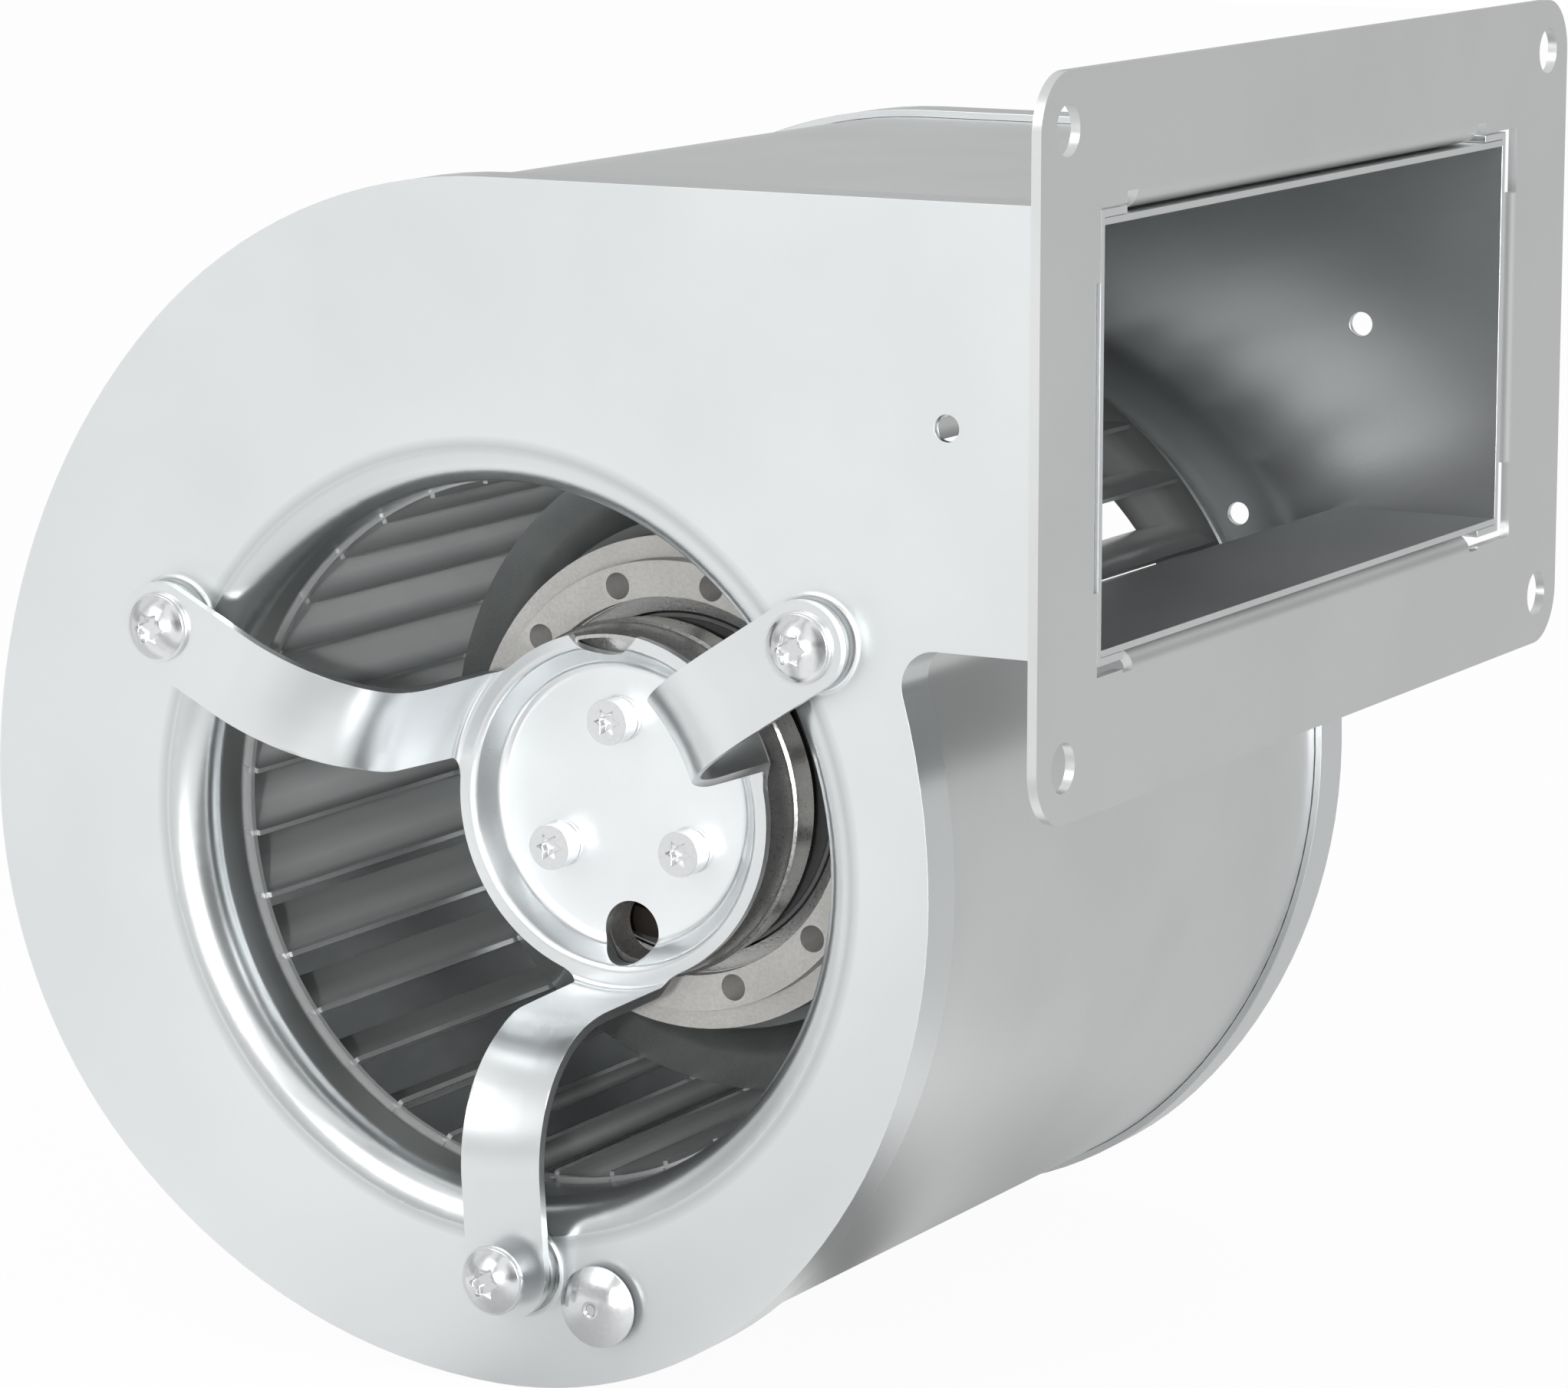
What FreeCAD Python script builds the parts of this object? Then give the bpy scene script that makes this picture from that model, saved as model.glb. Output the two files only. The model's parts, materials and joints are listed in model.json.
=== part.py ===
import FreeCAD, Part
import math
import os
import re
from types import SimpleNamespace

import Sketcher

os.makedirs("parts", exist_ok=True)
doc = FreeCAD.newDocument("centrifugal_fan")
Vector = FreeCAD.Vector

# Driving dimensions in millimetres and degrees. The origin is the centre of the outlet flange's
# hole pattern on its front face: +X blows out of the outlet, +Y runs along the wheel's axis away
# from the bracket, +Z is up.
driving = {
    # outlet flange
    "flange_pitch_y": 175.0,
    "flange_pitch_z": 90.0,
    "flange_margin": 8.3,
    "flange_corner": 8.7,
    "flange_sheet": 1.5,
    "flange_hole_radius": 3.7,
    "lip_bend": 3.0,
    "lip_length": 9.0,
    "lip_gap": 0.25,
    "lip_relief": 3.3,
    "window_gap": 0.3,
    "window_foot": 1.5,
    "side_lip_top": 22.8,
    "side_lip_bottom": 21.4,
    "near_lip_bend": 1.7,
    "near_lip_gap": 0.1,
    "far_lip_gap": 2.7,
    "far_corner_gap": 4.8,
    # housing
    "housing_width": 147.2,
    "housing_shift": -3.3,
    "housing_sheet": 1.2,
    "collar_depth": 8.3,
    "wrap_sheet": 1.0,
    "seam_gap": 0.05,
    "duct_top": 33.07,
    "duct_bottom": 32.2,
    "outlet_reach": 101.0,
    "tongue_radius": 5.5,
    # scroll: how far each arc lies outside the wheel's radius
    "scroll_start": 34.87,
    "scroll_gap_a": 18.53,
    "scroll_gap_b": 40.59,
    "scroll_gap_c": 13.55,
    "scroll_gap_d": 30.99,
    "scroll_gap_e": 1.99,
    "scroll_gap_f": 22.18,
    "scroll_gap_g": 44.54,
    "scroll_start_x": 1.5,
    # inlet nozzles and bosses
    "throat_radius": 55.1,
    "roll_radius": 6.6,
    "nozzle_depth": 11.9,
    "boss_radius": 6.7,
    "boss_crown": 0.9,
    "boss_foot": 1.2,
    "boss_height": 3.0,
    "boss_circle_radius": 65.6,
    "first_arm_angle": 33.2,
    "far_hole_radius": 1.9,
    "small_hole_radius": 2.0,
    "small_hole_x": 24.4,
    "small_hole_z": 0.5,
    "plug_beside_axis": 18.3,
    "plug_below_axis": 69.3,
    "plug_radius": 6.3,
    "plug_height": 2.0,
    "plug_rim": 0.6,
    "plug_lift": 1.4,
    "plug_dimple_radius": 0.85,
    "plug_dimple_depth": 0.3,
    "plug_stem_radius": 3.0,
    "plug_stem_length": 4.2,
    "plug_barb": 0.5,
    "plug_taper": 0.8,
    # spider bracket
    "bracket_sheet": 1.5,
    "arm_width": 14.0,
    "bracket_depth": 33.5,
    "arm_bend_radius": 22.0,
    "wall_top_radius": 30.2,
    "wall_foot_radius": 29.1,
    "recess_radius": 22.5,
    "recess_slope": 3.1,
    "recess_bend": 2.4,
    "recess_top_bend": 1.7,
    "rim_bend": 1.2,
    "rim_radius": 27.9,
    "arm_flare": 6.0,
    "recess_depth": 4.4,
    "notch_circle_radius": 31.5,
    "notch_radius": 7.5,
    "cable_hole_radius": 4.85,
    "cable_hole_circle_radius": 20.4,
    "motor_screw_circle_radius": 13.6,
    "motor_screw_turn": 59.8,
    # fasteners
    "arm_screw_radius": 2.4,
    "arm_head_radius": 5.4,
    "arm_head_height": 3.5,
    "arm_flange_height": 0.8,
    "arm_flange_step": 0.35,
    "arm_screw_length": 9.0,
    "last_screw_stand": 3.4,
    "motor_screw_radius": 1.95,
    "motor_head_radius": 3.6,
    "motor_head_height": 3.6,
    "motor_screw_length": 7.5,
    "washer_radius": 3.7,
    "washer_sheet": 0.9,
    "arm_drive_radius": 2.6,
    "arm_drive_waist": 1.6,
    "motor_drive_radius": 2.3,
    "motor_drive_waist": 1.25,
    "drive_depth": 1.6,
    "fit_gap": 0.05,
    "screw_clearance": 0.3,
    "overrun": 1.0,
    # motor, measured inward from the bracket plate's inner face
    "cover_lip_step": 0.9,
    "cover_lip_wall": 0.6,
    "cover_radius": 28.3,
    "cover_bulge": 2.6,
    "cover_taper": 0.3,
    "bead_at": 7.2,
    "bead_height": 0.5,
    "bead_width": 1.2,
    "cover_depth": 8.6,
    "cover_wall": 2.4,
    "cover_floor": 6.0,
    "tube_radius": 13.0,
    "tube_length": 47.0,
    "bearing_bore": 4.0,
    "bearing_radius": 11.0,
    "bearing_width": 7.0,
    "bearing_inner_wall": 1.9,
    "bearing_outer_wall": 2.0,
    "ball_radius": 1.5,
    "front_bearing_at": 8.0,
    "rear_bearing_at": 39.0,
    "spring_height": 1.0,
    "spring_wall": 1.6,
    "shaft_clearance": 1.0,
    "bearing_shoulder": 1.4,
    "shaft_chamfer": 0.5,
    "core_at": 17.0,
    "core_length": 22.0,
    "core_radius": 27.6,
    "slot_radius": 2.1,
    "slot_circle_radius": 22.3,
    "coil_height": 5.0,
    "insulator_sheet": 0.8,
    "insulator_step": 0.6,
    "air_gap": 0.4,
    "cage_wall": 2.4,
    "rotor_mouth_radius": 30.6,
    "rotor_ring_at": 14.0,
    "rotor_ring_sheet": 2.4,
    "rotor_step_radius": 36.5,
    "rotor_step_depth": 3.6,
    "rotor_radius": 40.1,
    "rotor_length": 42.0,
    "rotor_end_wall": 4.0,
    "rotor_hub_radius": 9.0,
    "rotor_hub_depth": 3.0,
    "balance_circle_radius": 33.3,
    "balance_hole_radius": 2.15,
    "balance_hole_depth": 14.0,
    "balance_phase": 18.5,
    "shaft_front": 5.6,
    "clip_groove_depth": 0.6,
    "clip_width": 0.9,
    "clip_radius": 5.6,
    # wheel
    "wheel_radius": 66.7,
    "wheel_gap": 2.1,
    "ring_sheet": 1.0,
    "ring_bore_step": 0.6,
    "blade_sheet": 0.8,
    "blade_depth": 12.7,
    "blade_sweep": 8.2,
    "blade_bow": 1.9,
    "blade_phase": 133.5,
    "tab_proud": 0.5,
    "tab_length": 4.2,
    "tab_margin": 0.3,
    "web_sheet": 1.2,
    "web_hub_length": 13.4,
    "web_hub_wall": 1.9,
    "web_foot_width": 0.7,
    "web_foot_height": 3.0,
    "web_flare_width": 2.6,
    "web_flare_height": 5.0,
    "web_reach": 6.0,
}
blade_count = 34
drive_points = 6
arm_count = 3
motor_screw_count = 3
balance_hole_count = 12
slot_count = 12
ball_count = 8

sheet = doc.addObject("Spreadsheet::Sheet", "Sizes")
for row, (name, value) in enumerate(driving.items(), 1):
    sheet.set(f"A{row}", name)
    sheet.set(f"B{row}", str(value))
    sheet.setAlias(f"B{row}", name)
doc.recompute()
s = SimpleNamespace(**{name: float(sheet.get(name)) for name in driving})

# Places that several pieces share
axis_z = s.duct_top - s.wheel_radius - s.scroll_start
half_width = s.housing_width / 2
near_face = s.housing_shift - half_width
far_face = s.housing_shift + half_width
plate_outer = near_face + s.bracket_depth
motor_front = plate_outer + s.recess_depth + s.bracket_sheet
axis_point = Vector(-s.outlet_reach, 0, axis_z)
wheel_axis = Vector(0, 1, 0)
arm_angles = [s.first_arm_angle + i * 360 / arm_count for i in range(arm_count)]
motor_angles = [s.first_arm_angle + s.motor_screw_turn + i * 360 / motor_screw_count
                for i in range(motor_screw_count)]

blade_inner = s.wheel_radius - s.blade_depth
ring_bore = blade_inner + s.ring_bore_step
wheel_length = s.housing_width - 2 * (s.nozzle_depth + s.wheel_gap)

axis_z_text = "duct_top - wheel_radius - scroll_start"
near_text = "housing_shift - housing_width / 2"
rim_text = f"{near_text} + bracket_depth + bracket_sheet"
motor_text = f"{rim_text} + recess_depth"
pieces = []


def sized(text):
    """Turn names in a formula into cells of the sheet."""
    return re.sub(r"[a-z]\w*", r"Sizes.\g<0>", text)


def turned(label, y_text, points):
    """A turned piece about the wheel's axis: each point is a radius and a distance along it."""
    body = doc.addObject("PartDesign::Body", label)
    body.Label = label
    sketch = body.newObject("Sketcher::SketchObject", f"{label}_profile")
    plane = next(o for o in body.Origin.OriginFeatures if o.Role == "XY_Plane")
    sketch.AttachmentSupport = [(plane, "")]
    sketch.MapMode = "FlatFace"
    count = len(points)
    places = [Vector(5 + i, 3 + i * i, 0) for i in range(count)]
    for i in range(count):
        sketch.addGeometry(Part.LineSegment(places[i], places[(i + 1) % count]), False)
    for i in range(count):
        sketch.addConstraint(Sketcher.Constraint("Coincident", i, 2, (i + 1) % count, 1))
    for i, (radius, along) in enumerate(points):
        if radius == "0":
            sketch.addConstraint(Sketcher.Constraint("PointOnObject", i, 1, -2))
        else:
            number = sketch.addConstraint(Sketcher.Constraint("DistanceX", -1, 1, i, 1, places[i].x))
            sketch.setExpression(f"Constraints[{number}]", sized(radius))
        if along == "0":
            sketch.addConstraint(Sketcher.Constraint("PointOnObject", i, 1, -1))
        else:
            number = sketch.addConstraint(Sketcher.Constraint("DistanceY", -1, 1, i, 1, places[i].y))
            sketch.setExpression(f"Constraints[{number}]", sized(along))
    spin = body.newObject("PartDesign::Revolution", f"{label}_turn")
    spin.Profile = sketch
    spin.ReferenceAxis = (sketch, ["V_Axis"])
    spin.Angle = 360
    place(body, y_text)
    pieces.append(body)
    return body


def tapped(label, blank, holes):
    """A turned piece with holes cut into it; the blank itself is no piece."""
    pieces.remove(blank)
    doc.recompute()
    formed(label, blank.Shape.copy().cut(holes).removeSplitter())


def place(thing, y_text):
    """Put a piece on the wheel's axis, at a distance along Y given by a formula."""
    thing.setExpression("Placement.Base.x", sized("0 - outlet_reach"))
    thing.setExpression("Placement.Base.y", sized(y_text))
    thing.setExpression("Placement.Base.z", sized(axis_z_text))


def formed(label, shape, origin=Vector(0, 0, 0)):
    """A sheet or cast piece whose shape is made by the functions below."""
    thing = doc.addObject("Part::Feature", label)
    thing.Label = label
    thing.Shape = shape
    thing.Placement = FreeCAD.Placement(origin, FreeCAD.Rotation())
    pieces.append(thing)
    return thing


def polar(radius, degrees, y=0.0):
    """A point about the wheel's axis; the angle goes from +X towards +Z."""
    turn = math.radians(degrees)
    return Vector(axis_point.x + radius * math.cos(turn), y, axis_point.z + radius * math.sin(turn))


def disc(radius, y, length, centre=axis_point):
    """A cylinder along +Y that starts at y."""
    return Part.makeCylinder(radius, length, Vector(centre.x, y, centre.z), wheel_axis)


def drill(radius, y, length, centre=axis_point):
    """A round cutter that runs past both ends of the piece it cuts."""
    return disc(radius, y - s.overrun, length + 2 * s.overrun, centre)


def arc(start, middle, end):
    return Part.Arc(start, middle, end).toShape()


def line(start, end):
    return Part.LineSegment(start, end).toShape()


# Scroll outline: seven tangent arcs, the tongue's nose and two straight edges
def scroll_wire(inset, y=0.0):
    gaps = [s.scroll_gap_a, s.scroll_gap_b, s.scroll_gap_c, s.scroll_gap_d,
            s.scroll_gap_e, s.scroll_gap_f, s.scroll_gap_g]
    radii = [s.wheel_radius + gap for gap in gaps]
    centre_x = -s.scroll_start_x
    centre_z = s.wheel_radius + s.scroll_start - radii[0]
    edges = []
    angle = 90.0
    bottom = -s.duct_bottom - axis_z
    front = s.outlet_reach

    def point(cx, cz, radius, degrees):
        turn = math.radians(degrees)
        return Vector(axis_point.x + cx + radius * math.cos(turn), y,
                      axis_point.z + cz + radius * math.sin(turn))

    top_front = Vector(0, y, s.duct_top - inset)
    edges.append(line(top_front, point(centre_x, centre_z, radii[0] - inset, 90)))
    for i, radius in enumerate(radii[:-1]):
        small = radius - inset
        edges.append(arc(point(centre_x, centre_z, small, angle),
                         point(centre_x, centre_z, small, angle + 22.5),
                         point(centre_x, centre_z, small, angle + 45)))
        angle += 45
        turn = math.radians(angle)
        centre_x += (radius - radii[i + 1]) * math.cos(turn)
        centre_z += (radius - radii[i + 1]) * math.sin(turn)
    last = radii[-1]
    rise = (bottom - s.tongue_radius - centre_z) / (last + s.tongue_radius)
    nose_turn = math.degrees(math.asin(rise))
    edges.append(arc(point(centre_x, centre_z, last - inset, 0),
                     point(centre_x, centre_z, last - inset, nose_turn / 2),
                     point(centre_x, centre_z, last - inset, nose_turn)))
    reach = last + s.tongue_radius
    nose_x = centre_x + reach * math.cos(math.radians(nose_turn))
    nose_z = centre_z + reach * math.sin(math.radians(nose_turn))
    nose = s.tongue_radius + inset
    edges.append(arc(point(nose_x, nose_z, nose, 180 + nose_turn),
                     point(nose_x, nose_z, nose, 135 + nose_turn / 2),
                     point(nose_x, nose_z, nose, 90)))
    bottom_front = Vector(axis_point.x + front, y, -s.duct_bottom + inset)
    edges.append(line(point(nose_x, nose_z, nose, 90), bottom_front))
    edges.append(line(bottom_front, top_front))
    return Part.Wire(Part.__sortEdges__(edges))


def scroll_block(inset, y, length):
    return Part.Face(scroll_wire(inset, y)).extrude(Vector(0, length, 0))


# Rolled sheet profile about the wheel's axis, from points and a bend at each
def bent_path(points, bends):
    """A line through points, rounded by a bend at each inner point; all in the plane Z = axis."""
    edges = []
    start = points[0]
    for i in range(1, len(points) - 1):
        into = (points[i] - points[i - 1]).normalize()
        out = (points[i + 1] - points[i]).normalize()
        turn = into.getAngle(out)
        back = bends[i - 1] * math.tan(turn / 2)
        a = points[i] - into * back
        b = points[i] + out * back
        inward = (out - into).normalize()
        middle = points[i] + inward * (bends[i - 1] / math.cos(turn / 2) - bends[i - 1])
        edges.append(line(start, a))
        edges.append(arc(a, middle, b))
        start = b
    edges.append(line(start, points[-1]))
    return edges


def sheet_ring(points, bends, thickness):
    """A bent sheet turned about the wheel's axis; the sheet lies on the +Y side of its points."""
    normals = []
    for a, b in zip(points, points[1:]):
        run = (b - a).normalize()
        normals.append(Vector(-run.y, run.x, 0))
    inner = [points[0] + normals[0] * thickness]
    for i in range(1, len(points) - 1):
        both = normals[i - 1] + normals[i]
        inner.append(points[i] + both * (2 * thickness / both.dot(both)))
    inner.append(points[-1] + normals[-1] * thickness)
    inner_bends = []
    for i, bend in enumerate(bends):
        left = normals[i].cross(normals[i + 1]).z > 0
        inner_bends.append(bend - thickness if left else bend + thickness)
    edges = bent_path(points, bends)
    edges += bent_path(inner, inner_bends)
    edges.append(line(points[0], inner[0]))
    edges.append(line(points[-1], inner[-1]))
    face = Part.Face(Part.Wire(Part.__sortEdges__(edges)))
    ring = face.revolve(Vector(0, 0, 0), wheel_axis, 360)
    ring.translate(axis_point)
    return ring


# Side panels: a flat face with a collar, a rolled inlet nozzle and three pressed bosses
def nozzle(face_y):
    sheet_in = s.housing_sheet
    roll_x = s.throat_radius + s.roll_radius
    centre = Vector(roll_x, face_y + s.roll_radius, 0)
    half = math.sqrt(0.5)

    def rolled(radius):
        return [centre + Vector(0, -radius, 0), centre + Vector(-radius * half, -radius * half, 0),
                centre + Vector(-radius, 0, 0)]

    outer = rolled(s.roll_radius)
    inner = rolled(s.roll_radius - sheet_in)
    end_y = face_y + s.nozzle_depth
    outer_end = Vector(outer[2].x, end_y, 0)
    inner_end = Vector(inner[2].x, end_y, 0)
    edges = [arc(*outer), line(outer[2], outer_end), line(outer_end, inner_end),
             line(inner_end, inner[2]), arc(*inner), line(inner[0], outer[0])]
    face = Part.Face(Part.Wire(Part.__sortEdges__(edges)))
    ring = face.revolve(Vector(0, 0, 0), wheel_axis, 360)
    ring.translate(axis_point)
    return ring


def boss(centre, face_y):
    """A round boss pressed towards -Y, with a rounded crown and foot."""
    half = math.sqrt(0.5)
    top = -s.boss_height
    crown = s.boss_crown
    foot = s.boss_foot
    crown_x = s.boss_radius - crown
    foot_x = s.boss_radius + foot
    points = [Vector(0, 0, 0), Vector(foot_x, 0, 0), Vector(s.boss_radius, -foot, 0),
              Vector(s.boss_radius, top + crown, 0), Vector(crown_x, top, 0), Vector(0, top, 0)]
    edges = [line(points[0], points[1]),
             arc(points[1], Vector(foot_x - foot * half, -foot + foot * half, 0), points[2]),
             line(points[2], points[3]),
             arc(points[3], Vector(crown_x + crown * half, top + crown - crown * half, 0), points[4]),
             line(points[4], points[5]), line(points[5], points[0])]
    shape = Part.Face(Part.Wire(edges)).revolve(Vector(0, 0, 0), wheel_axis, 360)
    shape.translate(Vector(centre.x, face_y, centre.z))
    return shape


def panel_shape(bossed):
    """A side panel with its outer face on the near side; the bosses carry the bracket."""
    plate = scroll_block(0, near_face, s.collar_depth)
    hollow = scroll_block(s.housing_sheet, near_face + s.housing_sheet, s.collar_depth)
    shape = plate.cut(hollow)
    shape = shape.cut(drill(s.throat_radius + s.roll_radius, near_face, s.housing_sheet))
    shape = shape.fuse(nozzle(near_face))
    for angle in arm_angles:
        centre = polar(s.boss_circle_radius, angle)
        if bossed:
            shape = shape.fuse(boss(centre, near_face))
            shape = shape.cut(disc(s.boss_radius - s.housing_sheet,
                                   near_face + s.housing_sheet - s.boss_height, s.boss_height, centre))
        bore = s.arm_screw_radius - 2 * s.fit_gap if bossed else s.far_hole_radius
        shape = shape.cut(drill(bore, near_face - s.boss_height, s.boss_height + s.housing_sheet, centre))
    small = Vector(-s.small_hole_x, 0, s.small_hole_z)
    shape = shape.cut(drill(s.small_hole_radius, near_face, s.housing_sheet, small))
    return shape.removeSplitter()


def near_panel():
    plug_place = Vector(axis_point.x + s.plug_beside_axis, 0, axis_z - s.plug_below_axis)
    hole = drill(s.plug_stem_radius + s.fit_gap, near_face, s.housing_sheet, plug_place)
    formed("near_side_panel", panel_shape(True).cut(hole))


def far_panel():
    shape = panel_shape(False).mirror(Vector(0, s.housing_shift, 0), wheel_axis)
    formed("far_side_panel", shape)


def wrap():
    inset = s.housing_sheet + s.seam_gap
    start = near_face + s.housing_sheet + s.seam_gap
    length = s.housing_width - 2 * (s.housing_sheet + s.seam_gap)
    shape = scroll_block(inset, start, length)
    shape = shape.cut(scroll_block(inset + s.wrap_sheet, start - s.overrun, length + 2 * s.overrun))
    formed("scroll_wrap", shape.removeSplitter())


# Outlet flange: a plate with a window whose lips are bent back onto the housing
def rounded_rectangle(y0, y1, z0, z1, radius, x):
    half = radius * (1 - math.sqrt(0.5))
    edges = [
        line(Vector(x, y0 + radius, z0), Vector(x, y1 - radius, z0)),
        arc(Vector(x, y1 - radius, z0), Vector(x, y1 - half, z0 + half), Vector(x, y1, z0 + radius)),
        line(Vector(x, y1, z0 + radius), Vector(x, y1, z1 - radius)),
        arc(Vector(x, y1, z1 - radius), Vector(x, y1 - half, z1 - half), Vector(x, y1 - radius, z1)),
        line(Vector(x, y1 - radius, z1), Vector(x, y0 + radius, z1)),
        arc(Vector(x, y0 + radius, z1), Vector(x, y0 + half, z1 - half), Vector(x, y0, z1 - radius)),
        line(Vector(x, y0, z1 - radius), Vector(x, y0, z0 + radius)),
        arc(Vector(x, y0, z0 + radius), Vector(x, y0 + half, z0 + half), Vector(x, y0 + radius, z0)),
    ]
    return Part.Face(Part.Wire(edges))


def lip(start, along, toward, bend):
    """A lip bent back from the plate: start is on the front face, toward points into the window."""
    back = Vector(-1, 0, 0)
    small = bend - s.flange_sheet
    centre = start + back * bend
    half = math.sqrt(0.5)

    def bow(radius):
        return [centre - back * radius, centre + (toward - back) * (radius * half),
                centre + toward * radius]

    outer = bow(bend)
    inner = bow(small)
    end = back * (s.lip_length - bend)
    edges = [arc(*outer), line(outer[2], outer[2] + end), line(outer[2] + end, inner[2] + end),
             line(inner[2] + end, inner[2]), arc(*inner), line(inner[0], outer[0])]
    return Part.Face(Part.Wire(Part.__sortEdges__(edges))).extrude(along)


def opening(y0, y1, z0, z1):
    """A hole through the plate."""
    return Part.makeBox(s.flange_sheet + 2 * s.overrun, y1 - y0, z1 - z0,
                        Vector(-s.flange_sheet - s.overrun, y0, z0))


def flange():
    half_y = s.flange_pitch_y / 2 + s.flange_margin
    half_z = s.flange_pitch_z / 2 + s.flange_margin
    plate = rounded_rectangle(-half_y, half_y, -half_z, half_z, s.flange_corner, -s.flange_sheet)
    plate = plate.extrude(Vector(s.flange_sheet, 0, 0))
    seam = s.housing_sheet + s.seam_gap
    top = s.duct_top - seam + s.lip_gap + s.lip_bend
    bottom = -s.duct_bottom + seam - s.lip_gap - s.lip_bend
    near = near_face - s.near_lip_gap - s.near_lip_bend
    far = far_face + s.far_lip_gap + s.lip_bend
    lip_start = near_face + s.collar_depth + s.lip_relief
    lip_end = far_face - s.collar_depth - s.lip_relief
    shape = plate.cut([
        opening(near_face - s.near_lip_gap, far_face + s.far_corner_gap,
                -s.duct_bottom - s.window_foot, s.duct_top + s.window_gap),
        opening(lip_start - s.lip_relief, lip_end + s.lip_relief, bottom, top),
        opening(near, far, -s.side_lip_bottom, s.side_lip_top),
    ])
    span_y = Vector(0, lip_end - lip_start, 0)
    span_z = Vector(0, 0, s.side_lip_top + s.side_lip_bottom)
    shape = shape.fuse([
        lip(Vector(0, lip_start, top), span_y, Vector(0, 0, -1), s.lip_bend),
        lip(Vector(0, lip_start, bottom), span_y, Vector(0, 0, 1), s.lip_bend),
        lip(Vector(0, far, -s.side_lip_bottom), span_z, Vector(0, -1, 0), s.lip_bend),
        lip(Vector(0, near, -s.side_lip_bottom), span_z, Vector(0, 1, 0), s.near_lip_bend),
    ])
    for side_y in (-0.5, 0.5):
        for side_z in (-0.5, 0.5):
            corner = Vector(-s.flange_sheet - s.overrun, side_y * s.flange_pitch_y,
                            side_z * s.flange_pitch_z)
            shape = shape.cut(Part.makeCylinder(s.flange_hole_radius, s.flange_sheet + 2 * s.overrun,
                                                corner, Vector(1, 0, 0)))
    formed("outlet_flange", shape.removeSplitter())


# Spider bracket: a dished sheet with three arms
def arm_outline(angle):
    """A strip from the axis to a rounded end round the boss, as a tall block; it flares at the rim."""
    half = s.arm_width / 2
    block = Part.makeBox(s.boss_circle_radius, s.housing_width, s.arm_width, Vector(0, 0, -half))
    block = block.fuse(Part.makeCylinder(half, s.housing_width, Vector(s.boss_circle_radius, 0, 0), wheel_axis))
    beside = half + s.arm_flare
    reach = math.sqrt((s.rim_radius + s.arm_flare) ** 2 - beside ** 2)
    for side in (-beside, beside):
        centre = Vector(reach, 0, side)
        touch = centre * (s.rim_radius / (s.rim_radius + s.arm_flare))
        corners = [Vector(0, 0, 0), Vector(reach, 0, 0), centre, touch, Vector(0, 0, 0)]
        wedge = Part.Face(Part.makePolygon(corners)).extrude(Vector(0, s.housing_width, 0))
        block = block.fuse(wedge.cut(Part.makeCylinder(s.arm_flare, s.housing_width, centre, wheel_axis)))
    block.rotate(Vector(0, 0, 0), Vector(0, 1, 0), -angle)
    block.translate(axis_point + Vector(0, near_face - s.housing_width / 2, 0))
    return block


def bracket():
    arm_y = near_face - s.boss_height - s.bracket_sheet
    end = s.boss_circle_radius + s.arm_width
    points = [Vector(0, plate_outer + s.recess_depth, 0),
              Vector(s.recess_radius, plate_outer + s.recess_depth, 0),
              Vector(s.recess_radius + s.recess_slope, plate_outer, 0),
              Vector(s.wall_foot_radius, plate_outer, 0),
              Vector(s.wall_top_radius, arm_y, 0),
              Vector(end, arm_y, 0)]
    bends = [s.recess_bend, s.recess_top_bend, s.rim_bend, s.arm_bend_radius]
    dish = sheet_ring(points, bends, s.bracket_sheet)
    outline = disc(s.rim_radius, near_face - s.housing_width / 2, s.housing_width)
    for angle in arm_angles:
        outline = outline.fuse(arm_outline(angle))
    shape = dish.common(outline)
    for angle in arm_angles:
        shape = shape.cut(drill(s.arm_screw_radius + s.screw_clearance, arm_y, s.bracket_sheet,
                                polar(s.boss_circle_radius, angle)))
    for angle in motor_angles:
        shape = shape.cut(drill(s.motor_screw_radius + s.screw_clearance, plate_outer,
                                s.recess_depth + s.bracket_sheet, polar(s.motor_screw_circle_radius, angle)))
    notch = polar(s.notch_circle_radius, motor_angles[0])
    shape = shape.cut(drill(s.notch_radius, plate_outer, s.recess_depth + s.bracket_sheet, notch))
    cable = polar(s.cable_hole_circle_radius, arm_angles[-1])
    shape = shape.cut(drill(s.cable_hole_radius, plate_outer, s.recess_depth + s.bracket_sheet, cable))
    formed("spider_bracket", shape.removeSplitter())


# Screws along +Y: the head stands on the -Y side of seat_y
def screw(centre, seat_y, head, shank_radius, length, drive_y, drive_radius, drive_waist):
    corners = []
    for i in range(2 * drive_points + 1):
        reach = drive_radius if i % 2 == 0 else drive_waist
        turn = math.pi * i / drive_points
        corners.append(Vector(centre.x + reach * math.cos(turn), drive_y, centre.z + reach * math.sin(turn)))
    drive = Part.Face(Part.makePolygon(corners)).extrude(Vector(0, s.drive_depth, 0))
    return head.fuse(disc(shank_radius, seat_y, length, centre)).cut(drive).removeSplitter()


def dome(radius, height, base_y, centre):
    """A cap of a ball on base_y, bulging towards -Y."""
    ball_radius = (radius ** 2 + height ** 2) / (2 * height)
    foot = Vector(radius, 0, 0)
    top = Vector(0, -height, 0)
    half = math.asin(radius / ball_radius) / 2
    middle = Vector(ball_radius * math.sin(half), ball_radius * (1 - math.cos(half)) - height, 0)
    edges = [line(Vector(0, 0, 0), foot), arc(foot, middle, top), line(top, Vector(0, 0, 0))]
    cap = Part.Face(Part.Wire(edges)).revolve(Vector(0, 0, 0), wheel_axis, 360)
    cap.translate(Vector(centre.x, base_y, centre.z))
    return cap


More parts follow.
